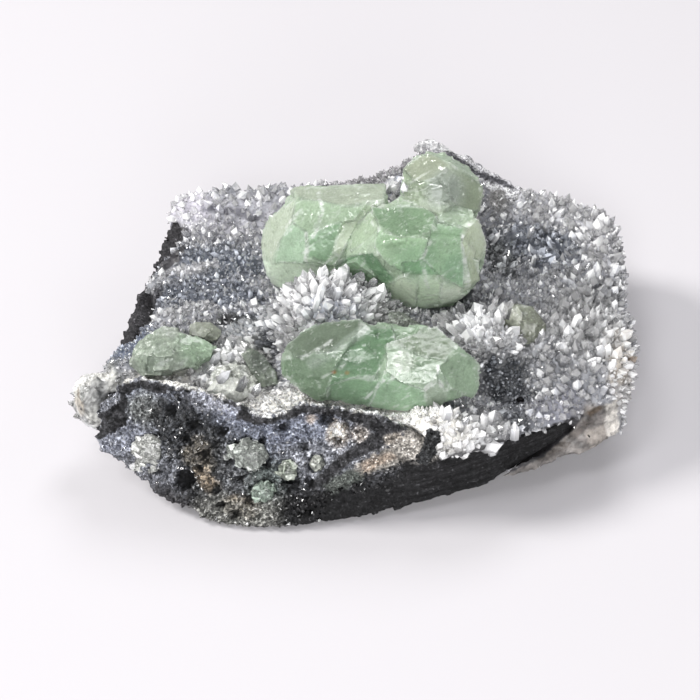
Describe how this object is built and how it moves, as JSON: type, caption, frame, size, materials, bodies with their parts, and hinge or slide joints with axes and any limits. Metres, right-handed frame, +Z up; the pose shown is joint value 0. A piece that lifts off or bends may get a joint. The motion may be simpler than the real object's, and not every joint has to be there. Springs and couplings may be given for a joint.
{
  "type": "quartz with fluorite mineral specimen",
  "caption": "Mineral specimen: a dark rock slab with a flat broken base, coated with a crust of small quartz points that holds rounded pale green fluorite crystals.",
  "frame": {"origin": "centre of the bounding box at the flat base the specimen rests on", "axes": "+X to the specimen's right along its longest side, +Y to its back, +Z up; the broken front face with its raised dark rim looks toward -Y"},
  "size_m": [0.1014, 0.0732, 0.0436],
  "materials": {
    "dark_rock": "broken rock, near black with blue-grey and tan areas, dull to slightly glossy",
    "quartz": "clear to milky grey-white crystal points, glassy",
    "green_fluorite": "see-through pale to mid green, glassy, with inner veils",
    "pale_fluorite": "see-through very pale grey-green, glassy",
    "face_crystal": "broken grey-green crystal, glassy with rough chips"
  },
  "bodies": {
    "root": {"matrix": "dark_rock", "quartz_crust": "quartz", "fluorite_rear": "green_fluorite", "fluorite_front": "green_fluorite", "fluorite_left": "pale_fluorite", "fluorite_right": "pale_fluorite", "fluorite_ledge": "pale_fluorite", "fluorite_gap": "pale_fluorite", "fluorite_trough": "pale_fluorite", "face_crystal_1": "face_crystal", "face_crystal_2": "face_crystal", "face_crystal_3": "face_crystal", "face_crystal_4": "face_crystal", "face_crystal_5": "face_crystal"}
  },
  "joints": []
}
